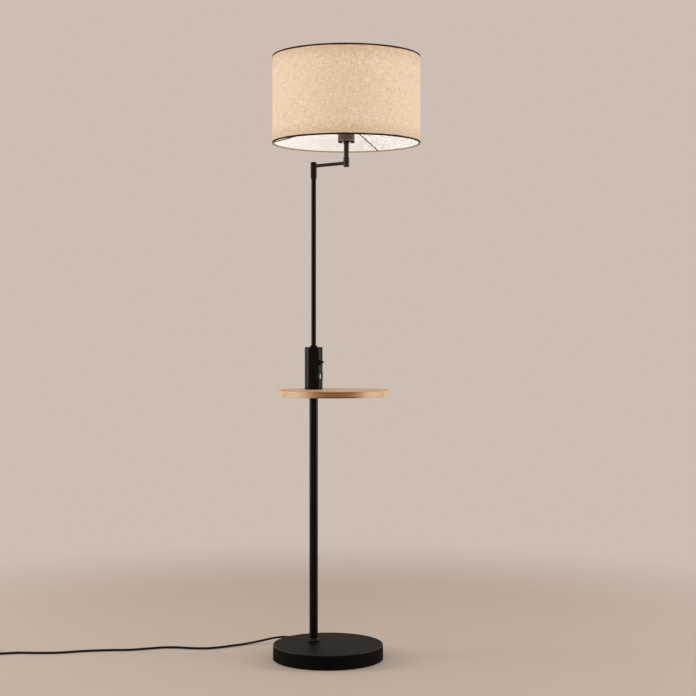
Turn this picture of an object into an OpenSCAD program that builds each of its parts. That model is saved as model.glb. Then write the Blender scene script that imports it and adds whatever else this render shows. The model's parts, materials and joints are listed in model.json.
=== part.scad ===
// Floor lamp with a round side table, a switch and USB housing, and a drum shade on a swing arm.
// Millimetres. +Z is up, the front of the lamp faces -Y, and the origin is the centre of the
// base disc on the floor.

/* [Base] */
// Diameter of the round base
base_d = 294; // [240:2:360]
// Height of the base, floor to top face
base_h = 40; // [36:1:60]
// Sheet thickness of the spun steel cover
base_wall = 1.5; // [1:0.1:2.5]
// Radius of the rolled edge round the cover's top
base_round = 3; // [2.6:0.2:8]
// Thickness of the foam pad under the base
pad_t = 2.5; // [1.5:0.5:4]
// Thickness of the cast iron plate in the base
weight_t = 14; // [10:1:18]
// Distance of the pole behind the centre of the base
pole_offset = 52; // [40:1:80]
// Diameter of the trim ring at the pole's foot
foot_d = 32.4; // [28:0.4:44]
// Height of the trim ring
foot_h = 9; // [6:0.5:14]

/* [Poles] */
// Outside diameter of the lower pole
lower_d = 23; // [21:0.5:26]
// Wall of the lower pole
lower_wall = 1.2; // [0.8:0.1:2]
// Outside diameter of the upper pole
upper_d = 13; // [12.6:0.1:13.6]
// Wall of the upper pole
upper_wall = 1; // [0.8:0.1:1.2]

/* [Table] */
// Diameter of the table top
table_d = 295; // [240:1:360]
// Thickness of the table top
table_t = 16; // [14:0.5:24]
// Height of the table's underside above the floor
table_z = 701.5; // [500:0.5:760]
// Distance of the table's centre in front of the pole
table_offset = 70; // [50:1:90]
// Radius that breaks the table's two edges
table_edge = 1.2; // [0.6:0.2:4]
// Diameter of the steel plate under the table
plate_d = 80; // [60:2:100]

/* [Housing] */
// Diameter of the tube that holds the switch and the USB socket
housing_d = 48; // [46:0.5:56]
// Height of the housing above the table
housing_h = 114; // [108:1:150]
// Wall of the housing tube
housing_wall = 1.5; // [1:0.1:2]
// Height of the toggle switch above the table
switch_z = 73; // [70:1:78]
// Height of the USB socket above the table
usb_z = 35.5; // [33:0.5:42]
// Diameter of the switch's round nut
nut_d = 14; // [13:0.2:18]
// Length of the toggle lever from its pivot
lever_len = 13.7; // [10:0.1:18]
// Angle of the lever above level in the photographed position
lever_tilt = 9; // [6:0.5:11]
// Diameter of the collar at the upper pole's foot
collar_d = 19.2; // [17:0.2:26]
// Height of that collar
collar_h = 4.2; // [3.4:0.2:8]

/* [Swing arm] */
// Height of the arm's centre line above the floor
arm_z = 1319; // [1100:1:1500]
// Distance from the pole's axis to the stem's axis
arm_reach = 116.5; // [90:0.5:150]
// Outside diameter of the arm tube
arm_d = 9; // [8:0.1:9.4]
// Wall of the arm tube
arm_wall = 1; // [0.8:0.1:1.4]
// Diameter of the sleeve that turns on the pole
sleeve_d = 16.4; // [16:0.2:20]
// Height of the sleeve's straight side
sleeve_h = 42; // [40:1:60]
// Height of the taper below the sleeve
sleeve_taper = 4.5; // [2:0.5:8]
// How far the arm may swing to each side
swing = 150; // [90:1:155]
// Diameter of the sleeve at the arm's outer end
end_d = 15.6; // [15.4:0.1:20]
// Height of that end sleeve
end_h = 26; // [25:0.5:36]

/* [Lampholder] */
// Diameter of the stem that carries the lampholder
stem_d = 13; // [12.6:0.1:13.4]
// Length of stem that shows between the end sleeve and the cup
stem_show = 38.6; // [20:0.2:120]
// Diameter of the lampholder's cup
cup_d = 44.4; // [43.4:0.2:52]
// Height of the cup
cup_h = 45; // [40:1:48]
// Diameter of the vent holes in the cup's underside
vent_d = 5; // [3:0.5:7]
// Diameter of the lamp bulb
bulb_d = 60; // [50:1:70]
// Length of the lamp bulb with its cap
bulb_len = 108; // [100:1:125]

/* [Shade] */
// Diameter of the drum shade over its cloth
shade_d = 391; // [300:1:420]
// Height of the shade
shade_h = 230.5; // [180:0.5:280]
// How far the shade's fitter ring sits above its lower rim
shade_drop = 48.5; // [35:0.5:70]
// Thickness of the cloth
cloth_t = 0.6; // [0.4:0.1:1]
// Thickness of the stiff lining
liner_t = 0.5; // [0.4:0.1:1]
// Thickness of the rings and spokes
wire_d = 3; // [2:0.1:4]
// Height of the tape round the two rims
tape_h = 4.5; // [3:0.5:10]

/* [Cord] */
// Diameter of the mains cord
cord_d = 6; // [5.4:0.1:6.2]
// Height of the cord's outlet above the floor
gland_z = 20; // [18:0.5:24]
// Length of the tapered strain relief
gland_len = 26; // [20:1:40]
// Length of the plug's body
plug_len = 36; // [30:1:45]

/* [Hidden] */
$fn = 96;

// Clearances
fit = 0.05;          // radial gap of a turning or a slip fit
ease = 0.6;          // gap round a casting or a loose part
lead_gap = 0.6;      // between the two lead ends that turn past each other

// Screw sizes: a 10 mm and an 8 mm hollow nipple, nuts and washer
nipple_d = 10;
nipple_bore = 8;
small_nipple_d = 8;
small_nipple_bore = 6;
nut_af = 14;
small_nut_af = 13;
nut_h = 4;
washer_d = 20;
washer_t = 1.5;
plug_grip = 16;      // length of the threaded plugs in the poles
thread_end = 3;      // how far a nipple stands past its nut

// Base
base_r = base_d / 2;
cover_lip = 1;                               // floor to the cover's lower edge
cover_under = base_h - base_wall;            // underside of the cover's top
boss_d = 46;
boss_bore = 26;
boss_roof = 8;
weight_z = pad_t;
roof_z = cover_under - boss_roof;
base_nut_z = roof_z - washer_t - nut_h;
slot_w = 9;
slot_len = 82;
slot_floor = 2.5;
slot_angle = 60;                             // from the pole towards the cord's outlet
gland_angle = 70;                            // round the base from +X

// Poles and table
plate_t = 2.5;
lower_top_z = table_z - plate_t;
lower_plug_d = lower_d - 2 * lower_wall - 2 * fit;
table_top_z = table_z + table_t;
table_y = pole_offset - table_offset;
screw_circle = plate_d / 2 - 9;
screw_d = 3.6;
screw_head_d = 7;
screw_head_h = 2.2;
screw_bite = 10;

// Housing
housing_r = housing_d / 2;
housing_bore = housing_d - 2 * housing_wall;
disc_t = 3;                                  // thickness of the housing's floor and lid
housing_top_z = table_top_z + housing_h;
lid_under_z = housing_top_z - disc_t;
front_y = pole_offset - housing_r;           // the housing's foremost line
toggle_z = table_top_z + switch_z;
port_z = table_top_z + usb_z;
bush_d = 11.8;
bush_out = 5.5;
bush_bore = 8;
pivot_in = 1;                                // the lever's pivot, behind the foremost line
pivot_y = front_y + pivot_in;
pivot_pin_d = 1.5;
lever_ball_d = 5.8;
lever_neck_d = 3;
lever_tip_d = 4.2;
toggle_nut_t = 3.6;
switch_size = [20, 22, 26];
// The switch body's front corners clear the housing's bore
switch_y = pole_offset + 4 * fit
    - sqrt(pow(housing_bore / 2, 2) - pow(switch_size[0] / 2, 2));
bezel_w = 26;
bezel_h = 20.6;
bezel_t = 1.2;                               // how far it stands proud of the tube
recess_w = 14;
recess_h = 17;
recess_in = 0.9;                             // depth of the recess in the bezel
recess_wall = [1.5, 1];                      // wall round the recess, across and up
bezel_deep = 6;                              // bezel's body behind the port's face
port_w = 5.1;
port_h = 12.5;
port_wall = 0.3;
port_len = 13.5;
tongue_w = 1.84;
tongue_h = 11.1;
tongue_len = 11.3;
tongue_off = 1.1;                            // the tongue lies to one side of the port
tongue_back = 3;                             // thickness of the block that closes the shell
module_size = [20, 14, 24];
port_y = front_y + recess_in - bezel_t + 0.5;
module_y = port_y + port_len + fit;
module_low_z = port_z - module_size[2] / 2;

// Upper pole and its pivot
upper_bore = upper_d - 2 * upper_wall;
upper_plug_d = upper_bore - 2 * fit;
sleeve_above = 11;                           // arm's centre line to the sleeve's top
sleeve_top_z = arm_z + sleeve_above;
sleeve_low_z = sleeve_top_z - sleeve_h - sleeve_taper;
sleeve_bore = upper_d + 2 * fit;
sleeve_roof = 3;
chamber_d = 10;
chamber_z = arm_z - 5;                       // floor of the chamber that the lead turns in
washer_gap = fit;
thrust_t = 1;
pivot_top_z = chamber_z - washer_gap - thrust_t;
pivot_head = 21;
pivot_z = pivot_top_z - pivot_head;
pivot_bore = 6;
groove_z = pivot_top_z - 10;
groove_w = 3.4;
groove_d = 11;
stop_d = 3;
stop_tip_r = groove_d / 2 + 0.4;
stop_side = asin(stop_d / 2 / stop_tip_r);   // half the angle that the stop screw takes
stop_ease = 1.3;                             // degrees left between screw and land
land_angle = 180 - swing - stop_side - stop_ease;   // half of what is left standing

// Arm and stem
arm_in = 6;                                  // how near the tube's ends come to each axis
stem_y = pole_offset - arm_reach;
end_below = 10.6;                            // arm's centre line to the end sleeve's underside
end_low_z = arm_z - end_below;
end_top_z = end_low_z + end_h;
stem_seat = 10;                              // depth of the stem's seat in the end sleeve
stem_z = end_top_z - stem_seat;
end_chamber_d = 9;

// Lampholder and bulb
cup_wall = 1.2;
cup_floor = 1.5;
cup_round = 2;
cup_z = end_top_z + stem_show;
cup_top_z = cup_z + cup_h;
vent_circle = 27;
vents = 4;
bead_z = 8;
bead_h = 2;
bead_out = 0.4;
holder_d = 39.6;
holder_z = cup_z + cup_floor + nut_h;
holder_floor = 4.5;
holder_bore = 28.2;
holder_above = 14;                           // holder above the cup's rim
contact_z = holder_z + holder_floor;
contact_strip = [20, 6, 1];                  // brass strip under the middle contact
contact_gap = 0.2;                           // between the bulb's tip and the contact
cap_d = 26.4;
cap_z = contact_z + 4;
cap_len = 27;
cap_tip_d = 9;
shell_z = cap_z + 4;                         // the threaded brass shell round the cap
shell_h = 20;
shell_wall = 0.7;
body_neck = 13.6;
body_h = 49;
bulb_wall = 1.5;
ring_t = 1.6;                                // the shade's fitter ring
fitter_d = 56;
ring_nut_d = fitter_d - 6;
ring_nut_h = 8;

// Shade
shade_r = shade_d / 2;
shade_z = cup_top_z - shade_drop;
shade_top_z = shade_z + shade_h;
skin = 0.05;                                 // gap between the shade's layers
tape_t = 0.35;
liner_r = shade_r - cloth_t - skin;          // outside of the lining
liner_in = liner_r - liner_t;
wire_r = liner_in - 2 * skin - tape_t - wire_d / 2;
wire_in = 2.6;                               // a ring's centre line to its rim
spokes = 3;
spoke_angle = 14;

// Cord. The free part is laid by hand from the outlet to the coil; the coil follows a rule.
gland_r0 = base_r - base_wall - 2.3;         // inner end of the strain relief
gland_r1 = base_r + 2.5 + gland_len;         // its outer end
gland_flange_d = 14;
gland_hole_d = 10;                           // hole for its neck in the cover
gland_dir = [cos(gland_angle), sin(gland_angle)];
function on_gland(r) = [gland_dir[0] * r, gland_dir[1] * r, gland_z];
// Each point of the free part: x, y and how far the cord's underside is above the floor
run_points = [[65, 194, 17], [61, 218, 16], [46, 243, 12], [24, 264, 6], [-2, 281, 1.5],
    [-34, 291, 0], [-70, 301, 0], [-106, 312, 0], [-136, 330, 0], [-158, 358, 0],
    [-176, 394, 0], [-202, 425, 0], [-240, 447, 0], [-282, 471, 0], [-326, 514, 0],
    [-376, 555, 0], [-436, 592, 0], [-480, 639, 0], [-508, 674, 0], [-542, 698, 0],
    [-570, 717, 0]];
run_steps = 3;
coil_centre = [-575, 769];
coil_start = 235;                            // direction of the coil's start from its centre
coil_turns = 4;
coil_in = 27;
coil_gap = 0.6;                              // between turns
coil_pitch = cord_d + coil_gap;
coil_rings = 24;
// Beyond the last turn: distance along the floor and height of the cord's centre line
coil_tail = [[12, 1], [24, 1], [36, 0.6], [46, 0.2], [54, 0], [62, 0]];
coil_low = cord_d / 2;
coil_high = coil_low + coil_pitch;
plug_z = 7;

function unit(v) = v / norm(v);
function coil_r(t) = coil_in + coil_pitch * abs(t - coil_turns / 2);
function coil_z(t) =
    let (s = min(1, max(0, (t - coil_turns / 2) * 2 + 0.5)))
    coil_low + (coil_high - coil_low) * (3 - 2 * s) * s * s;
function coil_at(t) =
    let (a = coil_start - 360 * t)
    [coil_centre[0] + coil_r(t) * cos(a), coil_centre[1] + coil_r(t) * sin(a), coil_z(t)];
coil_heading = [sin(coil_start), -cos(coil_start)];
function beside_coil(s, z) =
    [coil_at(0)[0] + coil_heading[0] * s, coil_at(0)[1] + coil_heading[1] * s, z];
coil_points = concat(
    [beside_coil(-2 * cord_d, coil_low), beside_coil(-cord_d, coil_low)],
    [for (i = [0 : coil_turns * coil_rings]) coil_at(i / coil_rings)],
    [for (p = coil_tail) beside_coil(p[0], plug_z + p[1] * (coil_high - plug_z))]);
plug_start = coil_tail[len(coil_tail) - 1][0];
lifted_points = [for (p = run_points) [p[0], p[1], cord_d / 2 + p[2]]];
laid_points = concat([on_gland(gland_r1 + 8)], lifted_points,
    [beside_coil(-3 * cord_d, coil_low)]);
run_path = [for (p = concat([on_gland(gland_r1)], smooth(laid_points, run_steps),
    [beside_coil(-2 * cord_d, coil_low)])) [p[0], p[1], max(p[2], cord_d / 2)]];

// A smooth curve through hand-picked points, n steps between each two
function spline(a, b, c, d, t) =
    0.5 * (2 * b + (c - a) * t + (2 * a - 5 * b + 4 * c - d) * t * t
        + (3 * b - a - 3 * c + d) * t * t * t);
function smooth(p, n) = concat([for (i = [0 : len(p) - 2], k = [0 : n - 1])
    spline(p[max(0, i - 1)], p[i], p[i + 1], p[min(len(p) - 1, i + 2)], k / n)],
    [p[len(p) - 1]]);
function length_of(p, i = 1) = i >= len(p) ? 0 : norm(p[i] - p[i - 1]) + length_of(p, i + 1);
function tangent(p, i) = unit(p[min(len(p) - 1, i + 1)] - p[max(0, i - 1)]);

// The coil's least gap to itself, over rings at least half a turn apart
least_gap = min([for (i = [0 : len(coil_points) - 1], j = [i + 12 : 1 : len(coil_points) - 1])
    norm(coil_points[i] - coil_points[j])]) - cord_d;
echo(coil_gap_mm = least_gap, run_length_mm = length_of(run_path),
    coil_length_mm = length_of(coil_points));

// Inner leads
lead_d = 6;
thin_lead_d = 4;
switch_back_y = switch_y + switch_size[1];
slot_dir = [cos(slot_angle), sin(slot_angle)];
function from_pole(s, z) = [slot_dir[0] * s, pole_offset + slot_dir[1] * s, z];
function behind_pole(s, z) = [0, pole_offset + s, z];
stand_lead_points = [on_gland(gland_r0), on_gland(gland_r0 - 7), from_pole(68, 18.5),
    from_pole(55, 13), from_pole(42, 9), from_pole(28, 8.5), from_pole(16, 8.5),
    from_pole(8, 9.6), from_pole(2.2, 14), from_pole(0, 21), from_pole(0, 40),
    from_pole(0, table_z), behind_pole(0, module_low_z - 11.5),
    behind_pole(4.5, module_low_z - 7.5), behind_pole(10.5, module_low_z - 2.5),
    behind_pole(14, module_low_z + 6.5), behind_pole(14, module_low_z + 17),
    behind_pole(13, toggle_z - 18), behind_pole(9.5, toggle_z - 9),
    [0, switch_back_y + 4.5, toggle_z - 5], [0, switch_back_y + fit, toggle_z - 5]];
upper_nipple_z = lid_under_z - nut_h - thread_end;
lead_bend = 2.8;                             // radius of the head lead's two corners
upper_lead_points = [[0, switch_back_y + fit, toggle_z + 6],
    [0, switch_back_y + 3, toggle_z + 6.5], behind_pole(6, toggle_z + 12),
    behind_pole(5, toggle_z + 18), behind_pole(1.2, upper_nipple_z - 5),
    behind_pole(0, upper_nipple_z), behind_pole(0, housing_top_z),
    behind_pole(0, chamber_z - 20), behind_pole(0, arm_z - lead_bend - lead_gap)];
head_lead_points = concat(
    [for (a = [0 : 22.5 : 90])
        [0, pole_offset - lead_bend * (1 - cos(a)), arm_z - lead_bend * (1 - sin(a))]],
    [[0, stem_y + lead_bend + 1, arm_z]],
    [for (a = [90 : -22.5 : 0])
        [0, stem_y + lead_bend * (1 - cos(a)), arm_z + lead_bend * (1 - sin(a))]],
    [[0, stem_y, contact_z]]);

// ---------------------------------------------------------------- shared shapes

// A tube swept along points; each ring is square to the path, and across sets how it is turned
module sweep(p, d, sides, across) {
    n = len(p);
    rings = [for (i = [0 : n - 1])
        let (t = tangent(p, i), u = unit(cross(t, across)), w = cross(t, u))
        [for (k = [0 : sides - 1])
            let (a = 360 * k / sides) p[i] + d / 2 * (cos(a) * u + sin(a) * w)]];
    points = [for (r = rings) each r];
    walls = [for (i = [0 : n - 2], k = [0 : sides - 1])
        let (a = i * sides + k, b = i * sides + (k + 1) % sides)
        each [[a, a + sides, b], [b, a + sides, b + sides]]];
    ends = [for (k = [1 : sides - 2])
        let (e = (n - 1) * sides)
        each [[0, k, k + 1], [e, e + k + 1, e + k]]];
    polyhedron(points, concat(walls, ends), convexity = 12);
}

module ring(d_out, d_in, h) {
    difference() {
        cylinder(d = d_out, h = h);
        translate([0, 0, -1]) cylinder(d = d_in, h = h + 2);
    }
}

module hex_nut(af, bore, h) {
    difference() {
        cylinder(d = af / cos(30), h = h, $fn = 6);
        translate([0, 0, -1]) cylinder(d = bore + 2 * fit, h = h + 2);
    }
}

// A block centred on its width and height, with its front face on y = 0
module slab(size) {
    translate([-size[0] / 2, 0, -size[2] / 2]) cube(size);
}

module nipple(d, bore, z0, z1) {
    translate([0, 0, z0]) ring(d, bore, z1 - z0);
}

module at_pole(z = 0) {
    translate([0, pole_offset, z]) children();
}

module at_stem(z = 0) {
    translate([0, stem_y, z]) children();
}

// Points a thing that is modelled along +Z towards the front of the lamp
module facing_front() {
    rotate([90, 0, 0]) children();
}

// Half section of a disc with one rounded upper edge
module disc_half(r, h, round) {
    square([r - round, h]);
    square([r, h - round]);
    translate([r - round, h - round]) circle(r = round);
}

// ---------------------------------------------------------------- base

module base_cover() {
    color("#262422") difference() {
        translate([0, 0, cover_lip]) rotate_extrude() difference() {
            disc_half(base_r, base_h - cover_lip, base_round);
            translate([0, -1]) disc_half(base_r - base_wall, base_h - cover_lip - base_wall + 1,
                base_round - base_wall);
            translate([-base_r, -1]) square([base_r, base_h + 2]);
        }
        at_pole(cover_under - 1) cylinder(d = nipple_d + 2 * fit, h = base_wall + 2);
        rotate([0, 0, gland_angle]) translate([base_r - 10, 0, gland_z]) rotate([0, 90, 0])
            cylinder(d = gland_hole_d, h = 20);
    }
}

module base_weight() {
    color("#3a3a3c") difference() {
        union() {
            translate([0, 0, weight_z]) cylinder(r = base_r - base_wall - ease, h = weight_t);
            at_pole(weight_z) cylinder(d = boss_d, h = cover_under - weight_z);
        }
        at_pole(weight_z - 1) cylinder(d = boss_bore, h = roof_z - weight_z + 1);
        at_pole(roof_z - 1) cylinder(d = nipple_d + 2 * fit, h = boss_roof + 2);
        at_pole(weight_z + slot_floor) rotate([0, 0, slot_angle]) translate([0, -slot_w / 2, 0])
            cube([slot_len, slot_w, base_nut_z - weight_z - slot_floor]);
        rotate([0, 0, gland_angle]) translate([gland_r0 - 1, -gland_flange_d / 2 - 1, weight_z + 3])
            cube([10, gland_flange_d + 2, weight_t]);
    }
}

module base_pad() {
    color("#1b1b1b") cylinder(r = base_r - base_wall - ease - 2, h = pad_t);
}

module base_nipple() {
    color("#b8b9bb") at_pole() nipple(nipple_d, nipple_bore, base_nut_z - thread_end,
        base_h + plug_grip - 2);
}

module base_washer() {
    color("#a9abad") at_pole(roof_z - washer_t) ring(washer_d, nipple_d + 2 * fit, washer_t);
}

module base_nut() {
    color("#a9abad") at_pole(base_nut_z) hex_nut(nut_af, nipple_d, nut_h);
}

module foot_flange() {
    bore_r = lower_d / 2 + fit;
    rim_h = 2.2;
    color("#262422") at_pole(base_h) rotate_extrude() polygon([[bore_r, 0], [foot_d / 2, 0],
        [foot_d / 2, rim_h], [bore_r + 1.2, foot_h], [bore_r, foot_h]]);
}

// ---------------------------------------------------------------- lower pole and table

module lower_pole() {
    color("#242321") at_pole(base_h)
        ring(lower_d, lower_d - 2 * lower_wall, lower_top_z - base_h);
}

module lower_pole_plugs() {
    color("#9a9c9e") for (z = [base_h, lower_top_z - plug_grip])
        at_pole(z) ring(lower_plug_d, nipple_d + 2 * fit, plug_grip);
}

module on_screw_circle() {
    for (i = [0 : 2])
        at_pole() rotate([0, 0, 90 + 120 * i]) translate([screw_circle, 0, 0]) children();
}

module table_plate() {
    color("#2a2a2a") difference() {
        at_pole(lower_top_z) ring(plate_d, nipple_d + 2 * fit, plate_t);
        on_screw_circle() translate([0, 0, lower_top_z - 1])
            cylinder(d = screw_d + 2 * fit, h = plate_t + 2);
    }
}

module table_screws() {
    color("#8d8f92") on_screw_circle() {
        translate([0, 0, lower_top_z - screw_head_h]) cylinder(d = screw_head_d, h = screw_head_h);
        translate([0, 0, lower_top_z - 0.1]) cylinder(d = screw_d, h = plate_t + screw_bite);
    }
}

module table_top() {
    color("#c9a57d") difference() {
        translate([0, table_y, table_z]) rotate_extrude() {
            square([table_d / 2 - table_edge, table_t]);
            translate([0, table_edge]) square([table_d / 2, table_t - 2 * table_edge]);
            for (z = [table_edge, table_t - table_edge])
                translate([table_d / 2 - table_edge, z]) circle(r = table_edge);
        }
        at_pole(table_z - 1) cylinder(d = nipple_d + 4 * fit, h = table_t + 2);
        on_screw_circle() translate([0, 0, table_z - 1])
            cylinder(d = screw_d + 2 * fit, h = screw_bite + 1.5);
    }
}

module table_nipple() {
    color("#b8b9bb") at_pole() nipple(nipple_d, nipple_bore, lower_top_z - plug_grip + 2,
        table_top_z + disc_t + nut_h + thread_end);
}

module table_nut() {
    color("#a9abad") at_pole(table_top_z + disc_t) hex_nut(nut_af, nipple_d, nut_h);
}

// ---------------------------------------------------------------- housing

module housing_tube() {
    color("#2b2826") difference() {
        at_pole(table_top_z) ring(housing_d, housing_bore, housing_h);
        translate([0, front_y + housing_wall + 3, toggle_z]) facing_front()
            cylinder(d = bush_d + 2 * fit, h = 10);
        translate([0, front_y - 5, port_z]) slab([recess_w + 2 * recess_wall[0] + 2 * fit, 12,
            recess_h + 2 * recess_wall[1] + 2 * fit]);
    }
}

module housing_floor() {
    color("#8d8f92") at_pole(table_top_z)
        ring(housing_bore - 2 * fit, nipple_d + 2 * fit, disc_t);
}

module housing_lid() {
    color("#262422") at_pole(lid_under_z)
        ring(housing_bore - 2 * fit, small_nipple_d + 2 * fit, disc_t);
}

module toggle_body() {
    color("#1d1d1f") difference() {
        union() {
            translate([0, switch_y, toggle_z]) slab(switch_size);
            translate([0, switch_y + 1, toggle_z]) facing_front()
                cylinder(d = bush_d, h = switch_y + 1 - front_y + bush_out);
        }
        translate([0, switch_y + 2, toggle_z]) facing_front() cylinder(d = bush_bore, h = 20);
        translate([0, pivot_y, toggle_z]) rotate([0, 90, 0])
            cylinder(d = pivot_pin_d + fit, h = bush_d + 2, center = true);
    }
}

module toggle_pin() {
    color("#c5c6c8") translate([0, pivot_y, toggle_z]) rotate([0, 90, 0])
        cylinder(d = pivot_pin_d, h = bush_d - 0.6, center = true);
}

module toggle_nut() {
    color("#2a2a2c") difference() {
        translate([0, front_y, toggle_z]) facing_front() rotate_extrude()
            polygon([[bush_d / 2 + fit, 0], [nut_d / 2, 0], [nut_d / 2, toggle_nut_t - 0.8],
                [nut_d / 2 - 0.8, toggle_nut_t], [bush_d / 2 + fit, toggle_nut_t]]);
        translate([0, front_y - toggle_nut_t, toggle_z]) rotate([0, 45, 0])
            cube([nut_d + 2, 1.6, 1.6], center = true);
    }
}

module toggle_lever() {
    color("#d0d1d3") translate([0, pivot_y, toggle_z]) rotate([-lever_tilt, 0, 0]) difference() {
        facing_front() {
            sphere(d = lever_ball_d);
            cylinder(d1 = lever_neck_d, d2 = lever_tip_d, h = lever_len - lever_tip_d / 2);
            translate([0, 0, lever_len - lever_tip_d / 2]) sphere(d = lever_tip_d);
        }
        rotate([0, 90, 0]) cylinder(d = pivot_pin_d + 2 * fit, h = lever_ball_d + 2, center = true);
    }
}

module usb_bezel() {
    ahead = 5;                               // start of the cuts, ahead of the tube
    body_size = [recess_w + 2 * recess_wall[0], port_y + bezel_deep - front_y + ahead,
        recess_h + 2 * recess_wall[1]];
    color("#161616") difference() {
        intersection() {
            at_pole(port_z - bezel_h) cylinder(r = housing_r + bezel_t, h = 2 * bezel_h);
            union() {
                difference() {
                    translate([0, front_y - ahead, port_z]) slab([bezel_w, housing_r, bezel_h]);
                    at_pole(port_z - bezel_h) cylinder(r = housing_r + fit, h = 2 * bezel_h);
                }
                translate([0, front_y - ahead, port_z]) slab(body_size);
            }
        }
        translate([0, front_y - ahead, port_z])
            slab([recess_w, ahead + recess_in - bezel_t, recess_h]);
        translate([0, front_y - ahead, port_z]) slab([port_w + 2 * (port_wall + fit),
            ahead + housing_r, port_h + 2 * (port_wall + fit)]);
    }
}

module usb_shell() {
    color("#bfc1c4") difference() {
        translate([0, port_y - port_wall, port_z])
            slab([port_w + 2 * port_wall, port_len + port_wall, port_h + 2 * port_wall]);
        translate([0, port_y - 1, port_z]) slab([port_w, port_len + 2, port_h]);
    }
}

module usb_tongue() {
    color("#f2f2ee") {
        translate([0, port_y + port_len - tongue_back, port_z])
            slab([port_w - 2 * fit, tongue_back, port_h - 2 * fit]);
        translate([tongue_off, port_y + port_len - tongue_back + 1 - tongue_len, port_z])
            slab([tongue_w, tongue_len, tongue_h]);
    }
}

module usb_module() {
    color("#1f5f3a") translate([0, module_y, port_z]) slab(module_size);
}

module housing_nipple() {
    color("#b8b9bb") at_pole() nipple(small_nipple_d, small_nipple_bore, upper_nipple_z,
        housing_top_z + plug_grip - 2);
}

module housing_nut() {
    color("#a9abad") at_pole(lid_under_z - nut_h) hex_nut(small_nut_af, small_nipple_d, nut_h);
}

module pole_collar() {
    bore_r = upper_d / 2 + fit;
    edge = 1.4;
    color("#262422") at_pole(housing_top_z) rotate_extrude() {
        translate([bore_r, 0]) square([collar_d / 2 - edge - bore_r, collar_h]);
        translate([bore_r, edge]) square([collar_d / 2 - bore_r, collar_h - 2 * edge]);
        for (z = [edge, collar_h - edge]) translate([collar_d / 2 - edge, z]) circle(r = edge);
    }
}

// ---------------------------------------------------------------- upper pole and pivot

module upper_pole() {
    color("#242321") at_pole(housing_top_z)
        ring(upper_d, upper_bore, pivot_z - housing_top_z);
}

module upper_foot_plug() {
    color("#9a9c9e") at_pole(housing_top_z)
        ring(upper_plug_d, small_nipple_d + 2 * fit, plug_grip);
}

// The turned plug that the sleeve turns on, with the groove and land that stop the arm
module pivot_plug() {
    color("#9a9c9e") difference() {
        at_pole() {
            translate([0, 0, pivot_z - plug_grip]) cylinder(d = upper_plug_d, h = plug_grip + 1);
            translate([0, 0, pivot_z]) cylinder(d = upper_d, h = pivot_head);
        }
        at_pole(pivot_z - plug_grip - 1)
            cylinder(d = pivot_bore, h = plug_grip + pivot_head + 2);
        at_pole(groove_z - groove_w / 2) difference() {
            ring(upper_d + 2, groove_d, groove_w);
            translate([0, 0, -1]) linear_extrude(groove_w + 2) polygon([[0, 0],
                [-upper_d * tan(land_angle), -upper_d], [upper_d * tan(land_angle), -upper_d]]);
        }
    }
}

module thrust_washer() {
    color("#e8e6df") at_pole(pivot_top_z) ring(upper_d - 4 * fit, pivot_bore, thrust_t);
}

module pole_sleeve() {
    chamfer = 2;
    r = sleeve_d / 2;
    bore_r = sleeve_bore / 2;
    color("#2b2826") difference() {
        at_pole() rotate_extrude() polygon([[0, sleeve_low_z], [bore_r + 0.4, sleeve_low_z],
            [r, sleeve_low_z + sleeve_taper], [r, sleeve_top_z - chamfer],
            [r - chamfer, sleeve_top_z], [0, sleeve_top_z]]);
        at_pole(sleeve_low_z - 1) cylinder(r = bore_r, h = chamber_z - sleeve_low_z + 1);
        at_pole(chamber_z - 1)
            cylinder(d = chamber_d, h = sleeve_top_z - sleeve_roof - chamber_z + 1);
        at_pole(arm_z) facing_front() cylinder(d = arm_d - 2 * arm_wall, h = r + 1);
        at_pole(arm_z) facing_front() translate([0, 0, arm_in])
            cylinder(d = arm_d + 2 * fit, h = r);
        at_pole(groove_z) rotate([-90, 0, 0]) cylinder(d = stop_d + 2 * fit, h = r + 1);
    }
}

module stop_screw() {
    color("#3b3b3d") at_pole(groove_z) rotate([-90, 0, 0]) translate([0, 0, stop_tip_r])
        cylinder(d = stop_d, h = sleeve_d / 2 - 0.4 - stop_tip_r);
}

// ---------------------------------------------------------------- arm and stem

module swing_arm() {
    color("#2b2826") at_pole(arm_z) facing_front() translate([0, 0, arm_in + fit])
        ring(arm_d, arm_d - 2 * arm_wall, arm_reach - 2 * arm_in - 2 * fit);
}

module end_sleeve() {
    chamfer = 1;
    r = end_d / 2;
    color("#2b2826") difference() {
        at_stem() rotate_extrude() polygon([[0, end_low_z], [r - chamfer, end_low_z],
            [r, end_low_z + chamfer], [r, end_top_z - chamfer], [r - chamfer, end_top_z],
            [0, end_top_z]]);
        at_stem(stem_z) cylinder(d = stem_d + 2 * fit, h = stem_seat + 1);
        at_stem(arm_z - 6) cylinder(d = end_chamber_d, h = stem_z - arm_z + 7);
        at_stem(arm_z) rotate([-90, 0, 0]) cylinder(d = arm_d - 2 * arm_wall, h = r + 1);
        at_stem(arm_z) rotate([-90, 0, 0]) translate([0, 0, arm_in])
            cylinder(d = arm_d + 2 * fit, h = r);
    }
}

module stem() {
    color("#2b2826") at_stem(stem_z) ring(stem_d, nipple_d + 2 * fit, cup_z - stem_z);
}

module stem_nipple() {
    color("#b8b9bb") at_stem() nipple(nipple_d, nipple_bore, cup_z - plug_grip, contact_z - 0.5);
}

// ---------------------------------------------------------------- lampholder and bulb

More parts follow.
